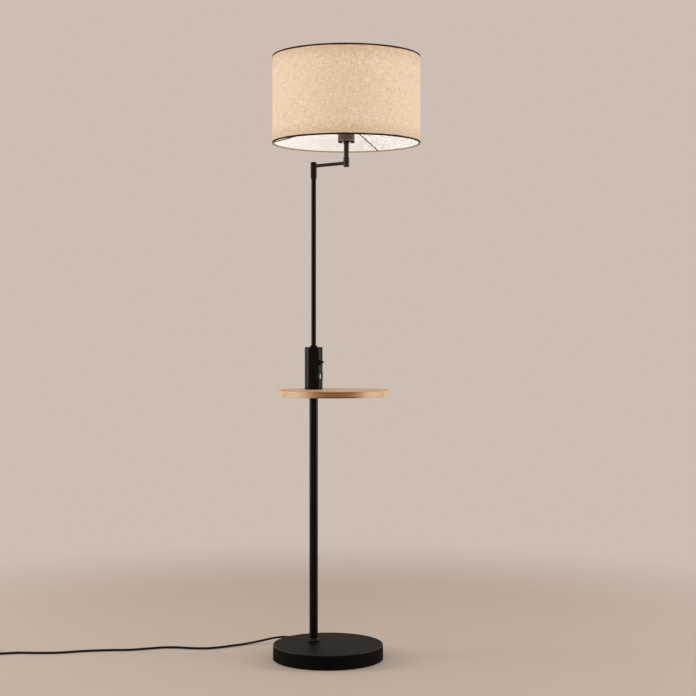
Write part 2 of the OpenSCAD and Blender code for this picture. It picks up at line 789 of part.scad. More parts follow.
module holder_cup() {
    r = cup_d / 2;
    color("#3a2f29") difference() {
        at_stem(cup_z) rotate_extrude() difference() {
            union() {
                translate([0, cup_round]) square([r, cup_h - cup_round]);
                square([r - cup_round, cup_h]);
                translate([r - cup_round, cup_round]) circle(r = cup_round);
                translate([r - 1, bead_z]) square([1 + bead_out, bead_h]);
            }
            translate([0, cup_floor]) square([r - cup_wall, cup_h]);
            translate([-r, -1]) square([r, cup_h + 2]);
        }
        at_stem(cup_z - 1) cylinder(d = nipple_d + 2 * fit, h = cup_floor + 2);
        at_stem(cup_z - 1) for (i = [0 : vents - 1]) rotate([0, 0, 360 / vents * i])
            translate([vent_circle / 2, 0, 0]) cylinder(d = vent_d, h = cup_floor + 2);
    }
}

module holder_nut() {
    color("#a9abad") at_stem(cup_z + cup_floor) hex_nut(nut_af, nipple_d, nut_h);
}

module holder_shell() {
    color("#1a1a1a") at_stem(holder_z) difference() {
        cylinder(d = holder_d, h = cup_top_z + holder_above - holder_z);
        translate([0, 0, -1]) cylinder(d = nipple_d + 2 * fit, h = holder_floor + 2);
        translate([0, 0, holder_floor]) cylinder(d = holder_bore, h = 100);
    }
}

module holder_contacts() {
    color("#c8a24a") {
        at_stem(contact_z + contact_strip[2] / 2) cube(contact_strip, center = true);
        at_stem(contact_z) cylinder(d = contact_strip[1], h = cap_z - contact_z - contact_gap);
        at_stem(shell_z)
            ring(holder_bore - 2 * fit, holder_bore - 2 * fit - 2 * shell_wall, shell_h);
    }
}

module shade_ring_nut() {
    color("#1a1a1a") at_stem(cup_top_z + ring_t) difference() {
        ring(ring_nut_d, holder_d + 2 * fit, ring_nut_h);
        for (i = [0 : 11]) rotate([0, 0, 30 * i]) translate([ring_nut_d / 2 + 0.8, 0, -1])
            cylinder(d = 4, h = ring_nut_h + 2);
    }
}

module bulb_cap() {
    color("#c5c6c8") at_stem(cap_z) rotate_extrude() polygon([[0, 0], [cap_tip_d / 2, 0],
        [cap_tip_d / 2 + 1, 1.5], [cap_d / 2 - 1, 4.5], [cap_d / 2, 6], [cap_d / 2, cap_len],
        [0, cap_len]]);
}

module bulb_body() {
    z0 = cap_z + cap_len;
    neck_z = cup_top_z + holder_above - z0;
    r1 = bulb_d / 2 - 0.6;
    globe_z = bulb_len - bulb_d / 2 - cap_len;
    color("#f1f0ec") at_stem(z0) rotate_extrude() polygon([[0, 0], [body_neck, 0],
        [body_neck, neck_z], [body_neck + 4, neck_z + (globe_z - neck_z) * 0.35],
        [r1 - 3, neck_z + (globe_z - neck_z) * 0.75], [r1, globe_z], [0, globe_z]]);
}

module bulb_globe() {
    color("#fbf6ea") at_stem(cap_z + bulb_len - bulb_d / 2) difference() {
        sphere(d = bulb_d);
        sphere(d = bulb_d - 2 * bulb_wall);
        translate([0, 0, -bulb_d]) cylinder(d = 2 * bulb_d, h = bulb_d + fit);
    }
}

// ---------------------------------------------------------------- shade

module wire_ring(z) {
    at_stem(z) rotate_extrude() translate([wire_r, 0]) circle(d = wire_d, $fn = 32);
}

// Fitter ring, three sloping spokes and the lower ring, welded together
module shade_spider() {
    inner_r = fitter_d / 2 - 1;
    outer_r = wire_r;
    spoke_d = wire_d - 0.2;
    drop = cup_top_z + ring_t / 2 - (shade_z + wire_in);
    color("#4c4946") {
        at_stem(cup_top_z) ring(fitter_d, holder_d + 1, ring_t);
        wire_ring(shade_z + wire_in);
        for (i = [0 : spokes - 1]) at_stem(cup_top_z + ring_t / 2)
            rotate([0, 0, spoke_angle + 360 / spokes * i]) translate([inner_r, 0, 0])
            rotate([0, 90 + atan(drop / (outer_r - inner_r)), 0])
            cylinder(d = spoke_d, h = norm([drop, outer_r - inner_r]));
    }
}

module shade_top_ring() {
    color("#4c4946") wire_ring(shade_top_z - wire_in);
}

module shade_liner() {
    color("#f4f1ea") at_stem(shade_z + tape_t + skin)
        ring(2 * liner_r, 2 * liner_in, shade_h - 2 * tape_t - 2 * skin);
}

module shade_fabric() {
    color("#e2c9a6") at_stem(shade_z + tape_t + skin)
        ring(shade_d, shade_d - 2 * cloth_t, shade_h - 2 * tape_t - 2 * skin);
}

module shade_tapes() {
    out_r = shade_r + skin + tape_t;
    in_r = liner_in - skin - tape_t;
    color("#5b4a38") at_stem() rotate_extrude() for (top = [0, 1])
        translate([0, shade_z + top * (shade_h - tape_h)]) {
        translate([out_r - tape_t, 0]) square([tape_t, tape_h]);
        translate([in_r, 0]) square([tape_t, tape_h]);
        translate([in_r, top * (tape_h - tape_t)]) square([out_r - in_r, tape_t]);
    }
}

// ---------------------------------------------------------------- cord and leads

// Tapered strain relief: an inner flange, a neck through the cover's wall and a grooved tail
module cord_gland() {
    flange_d = gland_flange_d;
    neck_d = gland_hole_d - 4 * fit;
    tail_d = 10.6;
    end_r = cord_d / 2 + 0.7;
    face = base_r + fit - gland_r0;
    inner = base_r - base_wall - 0.35 - gland_r0;
    color("#141414") difference() {
        rotate([0, 0, gland_angle]) translate([gland_r0, 0, gland_z]) rotate([0, 90, 0])
            rotate_extrude() polygon([[0, 0], [flange_d / 2, 0], [flange_d / 2, inner],
                [neck_d / 2, inner], [neck_d / 2, face], [flange_d / 2, face],
                [flange_d / 2, face + 1.8], [tail_d / 2, face + 2.6],
                [end_r, gland_r1 - gland_r0], [0, gland_r1 - gland_r0]]);
        rotate([0, 0, gland_angle]) translate([0, 0, gland_z]) rotate([0, 90, 0])
            for (i = [0 : 3]) translate([0, 0, base_r + 7 + i * (gland_len - 8) / 4])
                ring(16, cord_d + 1.4, 1.4);
    }
}

module stand_lead() {
    color("#151515") sweep(smooth_corners(stand_lead_points), lead_d, 8,
        [sin(slot_angle), -cos(slot_angle), 0]);
}

module upper_lead() {
    color("#e8e6df") sweep(smooth_corners(upper_lead_points), thin_lead_d, 8, [1, 0, 0]);
}

module head_lead() {
    color("#e8e6df") sweep(head_lead_points, thin_lead_d, 8, [1, 0, 0]);
}

// Rounds a lead's corners but keeps its long runs straight
function smooth_corners(p) = [for (i = [0 : len(p) - 1])
    each (i == 0 || i == len(p) - 1 ? [p[i]]
        : let (a = p[i] + 0.25 * min(norm(p[i - 1] - p[i]), 16) * unit(p[i - 1] - p[i]),
               b = p[i] + 0.25 * min(norm(p[i + 1] - p[i]), 16) * unit(p[i + 1] - p[i]))
          [a, b])];

module cord_run() {
    color("#141414") sweep(run_path, cord_d, 8, [0, 0, 1]);
}

module cord_coil() {
    color("#141414") sweep(coil_points, cord_d, 6, [0, 0, 1]);
}

// Places a thing that is modelled along +Z at the end of the coil's tail, along the floor
module at_plug(s) {
    translate(beside_coil(plug_start + s, plug_z)) rotate([0, 90, coil_start - 90]) children();
}

module plug_body() {
    sleeve_len = 12;                         // moulded sleeve where the cord goes in
    grip_z = 8;
    wide_z = 0.45 * plug_len;                // from here on the body has its full width
    face_size = [13.6, 34];                  // height and width of the face with the pins
    color("#141414") at_plug(0) {
        cylinder(d1 = cord_d + 1.6, d2 = 10.5, h = sleeve_len);
        intersection() {
            hull() for (side = [-1, 1]) {
                translate([0, side * 4, grip_z]) cylinder(d = 12, h = 1, $fn = 32);
                translate([0, side * (face_size[1] / 2 - plug_z), grip_z + wide_z])
                    cylinder(r = plug_z, h = plug_len - wide_z - grip_z, $fn = 32);
            }
            translate([-plug_z, -face_size[1], 0])
                cube([face_size[0], 2 * face_size[1], plug_len]);
        }
    }
}

module plug_pins() {
    pin_d = 4;
    pin_len = 19;
    spacing = 18;
    color("#c9cacc") at_plug(plug_len) for (side = [-1, 1]) translate([0, side * spacing / 2, 0]) {
        cylinder(d = pin_d, h = pin_len - pin_d / 2);
        translate([0, 0, pin_len - pin_d / 2]) sphere(d = pin_d);
    }
}

base_cover();
base_weight();
base_pad();
base_nipple();
base_washer();
base_nut();
foot_flange();
lower_pole();
lower_pole_plugs();
table_plate();
table_screws();
table_top();
table_nipple();
table_nut();
housing_tube();
housing_floor();
housing_lid();
toggle_body();
toggle_pin();
toggle_nut();
toggle_lever();
usb_bezel();
usb_shell();
usb_tongue();
usb_module();
housing_nipple();
housing_nut();
pole_collar();
upper_pole();
upper_foot_plug();
pivot_plug();
thrust_washer();
pole_sleeve();
stop_screw();
swing_arm();
end_sleeve();
stem();
stem_nipple();
holder_cup();
holder_nut();
holder_shell();
holder_contacts();
shade_ring_nut();
shade_spider();
shade_top_ring();
shade_liner();
shade_fabric();
shade_tapes();
bulb_cap();
bulb_body();
bulb_globe();
cord_gland();
stand_lead();
upper_lead();
head_lead();
cord_run();
cord_coil();
plug_body();
plug_pins();
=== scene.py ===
# %% [markdown]
# # A floor lamp with a side table, dressed in Blender
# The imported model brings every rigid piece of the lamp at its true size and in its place. This
# file adds what a picture of it needs: a camera, light, a finish for each piece, and the parts
# that are soft or too fine for the model, such as the linen shade and the mains cord.
# Lengths are in metres. +Z is up, the lamp's front faces -Y, and the origin is the centre of the
# round base, on the floor.

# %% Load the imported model
import json
import math

import bmesh
import bpy
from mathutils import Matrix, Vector


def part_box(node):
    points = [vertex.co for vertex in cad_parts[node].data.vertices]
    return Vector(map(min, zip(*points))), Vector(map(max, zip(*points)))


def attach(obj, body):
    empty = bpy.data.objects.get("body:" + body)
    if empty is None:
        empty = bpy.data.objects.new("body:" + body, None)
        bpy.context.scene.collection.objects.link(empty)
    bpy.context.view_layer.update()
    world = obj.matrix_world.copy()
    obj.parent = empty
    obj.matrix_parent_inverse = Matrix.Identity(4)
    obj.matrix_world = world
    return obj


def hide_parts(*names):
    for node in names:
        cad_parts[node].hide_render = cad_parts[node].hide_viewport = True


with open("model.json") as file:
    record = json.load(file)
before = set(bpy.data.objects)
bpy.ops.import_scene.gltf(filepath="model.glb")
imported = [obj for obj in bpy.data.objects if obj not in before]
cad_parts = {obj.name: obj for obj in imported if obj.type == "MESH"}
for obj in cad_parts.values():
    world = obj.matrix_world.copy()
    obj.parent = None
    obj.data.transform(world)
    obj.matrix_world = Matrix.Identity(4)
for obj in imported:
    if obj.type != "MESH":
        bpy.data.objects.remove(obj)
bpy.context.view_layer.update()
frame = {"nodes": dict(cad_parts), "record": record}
nodes = frame["nodes"]

# %% [markdown]
# ## Putting things into the scene
# Blender keeps what a thing is, such as a mesh, a lamp or a camera, apart from where it stands.
# The first is its data, the second an object that shows the data. Everything that this file makes
# goes through the same two steps, so they are one helper. Cameras and lamps both look along
# their own -Z, so one more helper turns either of them.

# %% Place and aim
def placed(name, data):
    """A new object in the scene that shows the data."""
    made = bpy.data.objects.new(name, data)
    bpy.context.scene.collection.objects.link(made)
    return made


def aim(thing, heading):
    """Turns a camera or a lamp so that it looks along the heading."""
    thing.rotation_euler = heading.to_track_quat("-Z", "Y").to_euler()


print("things can be placed and aimed")

# %% [markdown]
# ## The camera
# The photo was taken with a level camera, about 4 m from the lamp and a little above its table.
# Edges of known shape, such as the rims of the shade and of the base, gave the focal length and
# the place. The horizon lies a little above the middle of the frame, as in a picture that was
# cropped, so the lens is shifted instead of tilted: poles stay upright.

# %% Camera
photo_px = 696  # the picture is as wide as it is high
focal_px = 1500
horizon_px = 330.6  # below the picture's top
eye_height = 0.8758
sight = Vector((0.7563, 0.6542, 0))  # the way the camera looks
across = Vector((0.6542, -0.7563, 0))  # to the right in the picture
upright = Vector((0, 0, 1))
base_ahead, base_left = 4.0086, 0.0532  # where the base lies from the camera
sensor_mm = 36

camera_data = bpy.data.cameras.new("camera")
camera_data.sensor_width = sensor_mm
camera_data.lens = focal_px / photo_px * sensor_mm
camera_data.shift_y = (horizon_px - photo_px / 2) / photo_px
camera = placed("camera", camera_data)
camera.location = base_left * across - base_ahead * sight + eye_height * upright
aim(camera, sight)
bpy.context.scene.camera = camera
bpy.context.scene.view_settings.view_transform = "Standard"
print(f"lens {camera_data.lens:.1f} mm, {base_ahead:.2f} m from the base")

# %% [markdown]
# ## The route of the mains cord
# The cord leaves the base through a rubber strain relief, sinks to the floor and wanders off to
# the left. What the photo doesn't show is wound into a flat coil. A cord keeps its length, so its
# route is worked out as points first: a smooth curve through listed points, then four turns of a
# spiral that goes inwards on the floor and outwards again on top of itself.

# %% Points of the route
cord_d = 0.006
gland_angle = math.radians(70)  # where the cord leaves the base, round from +X
gland_end, gland_height = 0.1755, 0.020
straight_out = 0.008  # how far it runs straight on from there
# Points of the free part: x, y and how far the cord's underside is above the floor
laid_points = [
    (0.065, 0.194, 0.017), (0.061, 0.218, 0.016), (0.046, 0.243, 0.012), (0.024, 0.264, 0.006),
    (-0.002, 0.281, 0.0015), (-0.034, 0.291, 0), (-0.070, 0.301, 0), (-0.106, 0.312, 0),
    (-0.136, 0.330, 0), (-0.158, 0.358, 0), (-0.176, 0.394, 0), (-0.202, 0.425, 0),
    (-0.240, 0.447, 0), (-0.282, 0.471, 0), (-0.326, 0.514, 0), (-0.376, 0.555, 0),
    (-0.436, 0.592, 0), (-0.480, 0.639, 0), (-0.508, 0.674, 0), (-0.542, 0.698, 0),
    (-0.570, 0.717, 0)]
curve_steps = 6  # from each of these points to the next


def on_gland(radius):
    return Vector((math.cos(gland_angle) * radius, math.sin(gland_angle) * radius, gland_height))


def smooth_line(points, steps):
    """A smooth curve through the points, with this many steps between each two."""
    line = []
    for i in range(len(points) - 1):
        a, b, c, d = (points[min(max(i + k, 0), len(points) - 1)] for k in (-1, 0, 1, 2))
        for step in range(steps):
            t = step / steps
            line.append(0.5 * (2 * b + (c - a) * t + (2 * a - 5 * b + 4 * c - d) * t**2
                               + (3 * b - a - 3 * c + d) * t**3))
    return line + [points[-1]]


print(f"{len(laid_points)} points are laid by hand")

# %% Turns of the coil
coil_centre = Vector((-0.575, 0.769, 0))
coil_start = math.radians(235)
coil_turns = 4
coil_in = 0.027  # radius of the inner turns
coil_pitch = cord_d + 0.0006  # from one strand to the next, sideways and up
coil_steps = 48  # points on each turn
climb_turns = 0.5  # how long the cord takes to climb onto the lower turns
coil_heading = Vector((math.sin(coil_start), -math.cos(coil_start), 0))
# The last stretch: distance along the floor, and how much of the coil's height is left
coil_tail = [(0.012, 1), (0.024, 1), (0.036, 0.6), (0.046, 0.2), (0.054, 0), (0.062, 0)]
plug_height = 0.007


def coil_point(turn):
    """A point of the spiral; the cord climbs onto the lower turns around the middle one."""
    radius = coil_in + coil_pitch * abs(turn - coil_turns / 2)
    climb = min(1, max(0, (turn - coil_turns / 2) / climb_turns + 0.5))
    height = cord_d / 2 + coil_pitch * climb * climb * (3 - 2 * climb)
    angle = coil_start - 2 * math.pi * turn
    return coil_centre + Vector((radius * math.cos(angle), radius * math.sin(angle), height))


def beside_coil(distance, height):
    """A point on the line that the coil's outer strand leaves it by."""
    start = coil_point(0) + coil_heading * distance
    return Vector((start.x, start.y, height))


print(f"{coil_turns} turns, the widest {2000 * (coil_in + coil_pitch * coil_turns / 2):.0f} mm")

# %% The whole route
run = [on_gland(gland_end + straight_out)]
run += [Vector((x, y, cord_d / 2 + lift)) for x, y, lift in laid_points]
run.append(beside_coil(-3 * cord_d, cord_d / 2))
route = [on_gland(gland_end)] + smooth_line(run, curve_steps)
route += [beside_coil(-2 * cord_d, cord_d / 2), beside_coil(-cord_d, cord_d / 2)]
route += [coil_point(i / coil_steps) for i in range(coil_turns * coil_steps + 1)]
coil_high = cord_d / 2 + coil_pitch
route += [beside_coil(s, plug_height + k * (coil_high - plug_height)) for s, k in coil_tail]
for point in route:
    point.z = max(point.z, cord_d / 2)
length = sum((b - a).length for a, b in zip(route, route[1:]))
print(f"the cord is {length:.3f} m long")

# %% [markdown]
# ## The cord itself
# A curve with a bevel is the quick way to make a cord. This one is a tube in mesh code: a ring of
# points is carried along the route, always square to it, and each two rings are joined by faces.
# The ring must not twist on the way, so each one takes its side from the ring before. It stands
# for the two plain tubes of the model, the free run and the coil.

# %% A skin over rings
def with_neighbours(points):
    """Each point between the ones before and after it; an end is its own neighbour."""
    return zip(points[:1] + points[:-1], points, points[1:] + points[-1:])


def skin(name, rings):
    """A closed mesh: each ring of points is joined to the next, and both ends are capped."""
    shaped = bmesh.new()
    rings = [[shaped.verts.new(point) for point in ring] for ring in rings]
    for ring, after in zip(rings, rings[1:]):
        for k in range(len(ring)):
            shaped.faces.new((ring[k - 1], ring[k], after[k], after[k - 1]))
    shaped.faces.new(rings[0])
    shaped.faces.new(rings[-1][::-1])
    bmesh.ops.recalc_face_normals(shaped, faces=shaped.faces)
    mesh = bpy.data.meshes.new(name)
    shaped.to_mesh(mesh)
    shaped.free()
    print(f"{name} has {len(rings)} rings")
    return placed(name, mesh)


# %% Cord
def tube_rings(points, radius, sides=12):
    """Round rings along the points."""
    side = upright
    rings = []
    for before, point, after in with_neighbours(points):
        heading = after - before
        side = (side - side.project(heading)).normalized()
        other = heading.normalized().cross(side)
        angles = (2 * math.pi * k / sides for k in range(sides))
        rings.append([point + radius * (math.cos(a) * side + math.sin(a) * other)
                      for a in angles])
    return rings


mains_cord = skin("mains_cord", tube_rings(route, cord_d / 2))
mains_cord.data.shade_smooth()
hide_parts("cord_run", "cord_coil")
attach(mains_cord, "stand")

# %% [markdown]
# ## The tie round the coil
# A short strap of hook-and-loop tape holds the coil. It goes once round the four strands where
# they lie two by two, and its end laps over its start and sticks out a little. So its line is
# four straight sides with round corners, and a fifth corner that lies on the first one.

# %% Line of the tie
tie_w, tie_t = 0.012, 0.0008
tie_off = 0.0001  # between the strap and the strands
tie_lap = tie_t * 1.15  # how far the lapping end stands off, a little more than its thickness
tie_steps = 6  # round each corner
tie_end = (0.0035, 0.0012)  # how far the end sticks out: inwards and up
tie_line = []  # distance outwards from the strands' middle, and height above it
for quarter, (outwards, up) in enumerate(((1, 1), (-1, 1), (-1, -1), (1, -1), (1, 1))):
    lap = tie_lap if quarter == 4 else 0
    reach = cord_d / 2 + tie_off + tie_t / 2 + lap
    for step in range(tie_steps + 1):
        turn = math.pi / 2 * (quarter + step / tie_steps)
        tie_line.append((outwards * coil_pitch / 2 + reach * math.cos(turn),
                         up * coil_pitch / 2 + reach * math.sin(turn)))
tie_line.append((tie_line[-1][0] - tie_end[0], tie_line[-1][1] + tie_end[1]))
print(f"{len(tie_line)} points go round the strands")

# %% Coil tie
tie_angle = coil_start + math.pi
tie_out = Vector((math.cos(tie_angle), math.sin(tie_angle), 0))
tie_side = Vector((-tie_out.y, tie_out.x, 0))
tie_middle = (coil_centre + tie_out * (coil_in + coil_pitch)
              + (cord_d / 2 + coil_pitch / 2) * upright)
tie_lowest = 0.0002  # the strap stays this far above the floor


def strap_ring(before, here, after):
    """The four corners of the strap's cut at a point of its line."""
    heading = Vector((after[0] - before[0], after[1] - before[1])).normalized()
    normal = Vector((heading.y, -heading.x)) * tie_t / 2
    return [tie_middle + tie_out * (here[0] + face * normal.x) + tie_side * edge * tie_w / 2
            + max(here[1] + face * normal.y, tie_lowest - tie_middle.z) * upright
            for edge, face in ((-1, 1), (1, 1), (1, -1), (-1, -1))]


cord_tie = skin("cord_tie", [strap_ring(*three) for three in with_neighbours(tie_line)])
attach(cord_tie, "stand")
print(f"a tie {tie_w * 1000:.0f} mm wide")

# %% [markdown]
# ## Shader maths in Python
# A material is a net of nodes. Written as Python, the net reads like a formula: one small class
# wraps a socket, and each operator on it adds a Math node. Every other node comes from its
# `node` method, which sets the node's settings before its sockets.

# %% The socket class
class Socket:
    """A socket in a net of nodes, for sums in plain Python."""

    def __init__(self, link):
        self.link = link

    def node(self, kind, settings=None, inputs=None, output=0):
        """Adds a node and returns one of its outputs."""
        made = self.link.id_data.nodes.new("ShaderNode" + kind)
        for name, value in (settings or {}).items():
            setattr(made, name, value)
        for name, value in (inputs or {}).items():
            if isinstance(value, Socket):
                self.link.id_data.links.new(value.link, made.inputs[name])
            else:
                made.inputs[name].default_value = value
        return Socket(made.outputs[output])

    def maths(self, operation, *values):
        """A Math node on the values in their order, or on this socket alone."""
        return self.node("Math", {"operation": operation}, dict(enumerate(values or (self,))))

    def __add__(self, other):
        return self.maths("ADD", self, other)

    def __sub__(self, other):
        return self.maths("SUBTRACT", self, other)

    def __mul__(self, other):
        return self.maths("MULTIPLY", self, other)

    def __truediv__(self, other):
        return self.maths("DIVIDE", self, other)

    def __radd__(self, other):
        return self.maths("ADD", other, self)

    def __rsub__(self, other):
        return self.maths("SUBTRACT", other, self)

    def __rmul__(self, other):
        return self.maths("MULTIPLY", other, self)

    def __rtruediv__(self, other):
        return self.maths("DIVIDE", other, self)

    def __abs__(self):
        return self.maths("ABSOLUTE")

    def also(self, output):
        """Another output of the node that this socket is on."""
        return Socket(self.link.node.outputs[output])

    def xyz(self):
        x = self.node("SeparateXYZ", {}, {"Vector": self})
        return x, x.also("Y"), x.also("Z")

    def joined(self, y, z):
        """A vector whose X is this value."""
        return self.node("CombineXYZ", {}, {"X": self, "Y": y, "Z": z})

    def noise(self, scale, detail):
        """Noise at this place: scale is how many waves a metre has, detail adds finer ones."""
        return self.node("TexNoise", {}, {"Vector": self, "Scale": scale, "Detail": detail})

    def between(self, low, high):
        """Goes smoothly from 0, where this is low, to 1, where it is high."""
        return self.node("MapRange", {"interpolation_type": "SMOOTHSTEP"}, {
            "Value": self, "From Min": low, "From Max": high})

    def mix(self, colour_0, colour_1):
        """The first colour where this is 0, the second where it is 1."""
        return self.node("Mix", {"data_type": "RGBA"}, {0: self, 6: colour_0, 7: colour_1}, 2)

    def into(self, shader, name):
        self.link.id_data.links.new(self.link, shader.inputs[name])

    def raise_surface(self, shader, height):
        """Lifts the shader's surface by height, in metres, where this is 1."""
        self.node("Bump", {}, {"Height": self, "Distance": height}).into(shader, "Normal")


print("the socket class is ready")

# %% [markdown]
# ## Colours and finishes
# Colours are written as they are read off a picture, 0 to 255, but a shader takes linear light,
# so one helper turns the one into the other. A finish starts with what is the same all over its
# surface, set on the shader itself. What changes over the surface is added to it afterwards, as
# a sum of values that depend on the place.

# %% Helpers of the finishes
def srgb(red, green, blue):
    """A colour in a picture's numbers, 0 to 255, as the linear values that a shader takes."""
    def linear(c):
        return c / 12.92 if c <= 0.04045 else ((c + 0.055) / 1.055) ** 2.4
    return (*(linear(c / 255) for c in (red, green, blue)), 1.0)


def shade_of(colour, factor):
    """The same colour, lighter or darker."""
    return (*(min(1.0, c * factor) for c in colour[:3]), 1.0)


def new_finish(name, colour, roughness, **constants):
    """A material with its constants set on the shader, its shader, and where a point lies."""
    material = bpy.data.materials.new(name)
    material.use_nodes = True
    shader = material.node_tree.nodes["Principled BSDF"]
    constants.update(Base_Color=colour, Roughness=roughness)
    for socket, value in constants.items():
        shader.inputs[socket.replace("_", " ")].default_value = value
    return material, shader, Socket(shader.outputs[0]).node("TexCoord", output="Object")


print("an even grey of 188 is", [round(c, 2) for c in srgb(188, 188, 188)[:3]], "in linear light")

# %% [markdown]
# ## Black powder coat
# The base, the poles, the housing and the arm are steel with a satin black powder coat. Baked
# powder has a very fine orange peel, about a millimetre from crest to crest, and its gloss
# changes a little from place to place. Both are noise: one fine, for the bump, one broad, for
# the roughness. The arm, its sleeves and the stem under the shade are the same black, but they
# get browner, lighter copies of the coat: painted warm light, for the light that falls on them
# from the shade. The shade's wires are dark grey.

# %% Powder coats
finishes = {}
peel_waves, patch_waves = 850, 11  # in a metre
peel_height = 0.00002


def powder_coat(name, colour, roughness, gloss):
    material, shader, place = new_finish(
        name, colour, roughness, Specular_IOR_Level=gloss, Specular_Tint=(1, 0.92, 0.84, 1))
    peel = place.noise(peel_waves, 1)
    patches = place.noise(patch_waves, 3)
    patches.between(0.3, 0.7).mix(shade_of(colour, 0.85), shade_of(colour, 1.2)).into(
        shader, "Base Color")
    (roughness + 0.12 * (patches - 0.5) + 0.08 * (peel - 0.5)).into(shader, "Roughness")
    peel.raise_surface(shader, peel_height)
    return material


# The arm's and the stem's coats are browner and lighter: painted warm light on the same black.
for name, colour, roughness, gloss in (
        ("black_coat", srgb(5, 4, 4), 0.33, 0.10),
        ("arm_lit_coat", srgb(30, 20, 14), 0.45, 0.08),
        ("stem_lit_coat", srgb(40, 26, 18), 0.34, 0.18),
        ("wire_grey", srgb(36, 33, 29), 0.4, 0.25)):
    finishes[name] = powder_coat(name, colour, roughness, gloss)
print("powder coats:", ", ".join(finishes))

# %% [markdown]
# ## The base's coat
# The base is coarser and duller than the poles, more so down its side. Its upper edge is smoother
# and catches a line of light, which is painted there as a lighter colour: a painted highlight. The
# model's measures say where that edge is, so the painted highlight stays on it if the base is made
# wider or higher.

# %% Base
def distance(x, y):
    """How far a place lies from an upright axis that is x and y away."""
    return (x * x + y * y).maths("SQRT")


cover_low, cover_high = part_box("base_cover")
base_r = (cover_high.x - cover_low.x) / 2
# The painted edge highlight starts, and is full, this far out and this high. Below it comes the
# duller side.
highlight_out = (base_r - 0.0032, base_r - 0.0014)
highlight_up = (cover_high.z - 0.0034, cover_high.z - 0.0016)
side_down = (cover_high.z - 0.003, cover_high.z - 0.006)
base_coat, shader, place = new_finish(
    "base_coat", srgb(7, 6, 5), 0.6, Specular_IOR_Level=0.075, Specular_Tint=(1, 0.92, 0.80, 1))
x, y, z = place.xyz()
edge_highlight = distance(x, y).between(*highlight_out) * z.between(*highlight_up)
side = z.between(*side_down)
peel = place.noise(700, 1)
patches = place.noise(9, 3)
coat = patches.between(0.3, 0.7).mix(srgb(6, 5, 4), srgb(9, 8, 6))
# Painted highlight: the upper edge is lighter, and it is smoother too.
edge_highlight.mix(coat, srgb(46, 41, 36)).into(shader, "Base Color")
coarse = 0.56 + 0.3 * side + 0.12 * (patches - 0.5) + 0.08 * (peel - 0.5)
(coarse - 0.22 * edge_highlight).into(shader, "Roughness")
peel.raise_surface(shader, 3 * peel_height)
finishes["base_coat"] = base_coat
print(f"a base {base_r * 2000:.0f} mm across")

# %% [markdown]
# ## The lampholder's cup
# The cup of the lampholder is black metal. Its coat is painted brown-black, for the bulb's warm
# light that falls on it, with a painted highlight in a band low on its side, and painted shade,
# dull black, below it. The shade is a second shader, and a Mix Shader picks it by height. The
# vents are bright, because the bulb stands above them and lights their walls: a painted glow.

# %% Cup
def band(z, start, rises, falls):
    """1 in a band of heights above start, with a soft lower edge and a soft upper one."""
    return (z.between(*(start + rise for rise in rises))
            * z.between(*(start + fall for fall in falls)))


black = (0, 0, 0, 1)
cup_low, cup_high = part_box("holder_cup")
cup_centre = (cup_low + cup_high) / 2
cup_roughness = 0.26
vents_end = (0.0178, 0.0172)  # the vents lie within this distance of the axis
# Bands of height above the cup's underside: where each starts and is full, then fades and ends
vent_band = (0.0002, 0.0003), (0.0024, 0.0020)
highlight_band = (0.0026, 0.0036), (0.0066, 0.0052)
# The brown colour is the black coat with the bulb's warm light painted into it.
cup_coat, shader, place = new_finish(
    "cup_coat", srgb(72, 42, 27), cup_roughness, Specular_IOR_Level=0.5, Sheen_Weight=0.3,
    Sheen_Roughness=0.4, Emission_Strength=4.0)
x, y, z = place.xyz()
near_middle = distance(x - cup_centre.x, y - cup_centre.y).between(*vents_end)
# Painted glow: the vents' walls give off light, for the bulb's light on them.
vent_glow = near_middle * band(z, cup_low.z, *vent_band)
vent_glow.mix(black, (1, 0.88, 0.72, 1)).into(shader, "Emission Color")
peel = place.noise(peel_waves, 1)
patches = place.noise(patch_waves, 3)
# Painted highlight: a lighter band low on the cup's side.
painted_highlight = band(z, cup_low.z, *highlight_band)
coat = patches.between(0.3, 0.7).mix(srgb(74, 43, 30), srgb(88, 52, 37))
(0.7 * painted_highlight).mix(coat, srgb(132, 98, 84)).into(shader, "Base Color")
(cup_roughness + 0.1 * (patches - 0.5)).into(shader, "Roughness")
peel.raise_surface(shader, 0.00005)
# Painted shade: the underside and the round corner below the side, away from the vents, take a
# dull dark shader.
below = z.between(cup_low.z + 0.00015, cup_low.z + 0.00005)
round_corner = z.between(cup_low.z + 0.0026, cup_low.z + 0.0016) * (1 - near_middle)
underside_shade = below.node("BsdfDiffuse", {}, {"Color": srgb(10, 7, 6)})
shaded_part = below.maths("MAXIMUM", below, round_corner)
whole = shaded_part.node("MixShader", {}, {0: shaded_part, 1: Socket(shader.outputs["BSDF"]), 2: underside_shade})
whole.into(cup_coat.node_tree.nodes["Material Output"], "Surface")
finishes["cup_coat"] = cup_coat
print(f"a cup {(cup_high.x - cup_low.x) * 1000:.0f} mm across")

# %% [markdown]
# ## Oak table top
# The round top is glued up from staves of light wood that run across the picture. A stave's
# grain is a bundle of long streaks, which noise gives when its coordinates are stretched along
# the stave. Where the rim cuts across the staves it shows pores as dots instead. On the side that
# faces the camera the rim is brown, and painted shade lines darken it near its upper and lower
# edges.

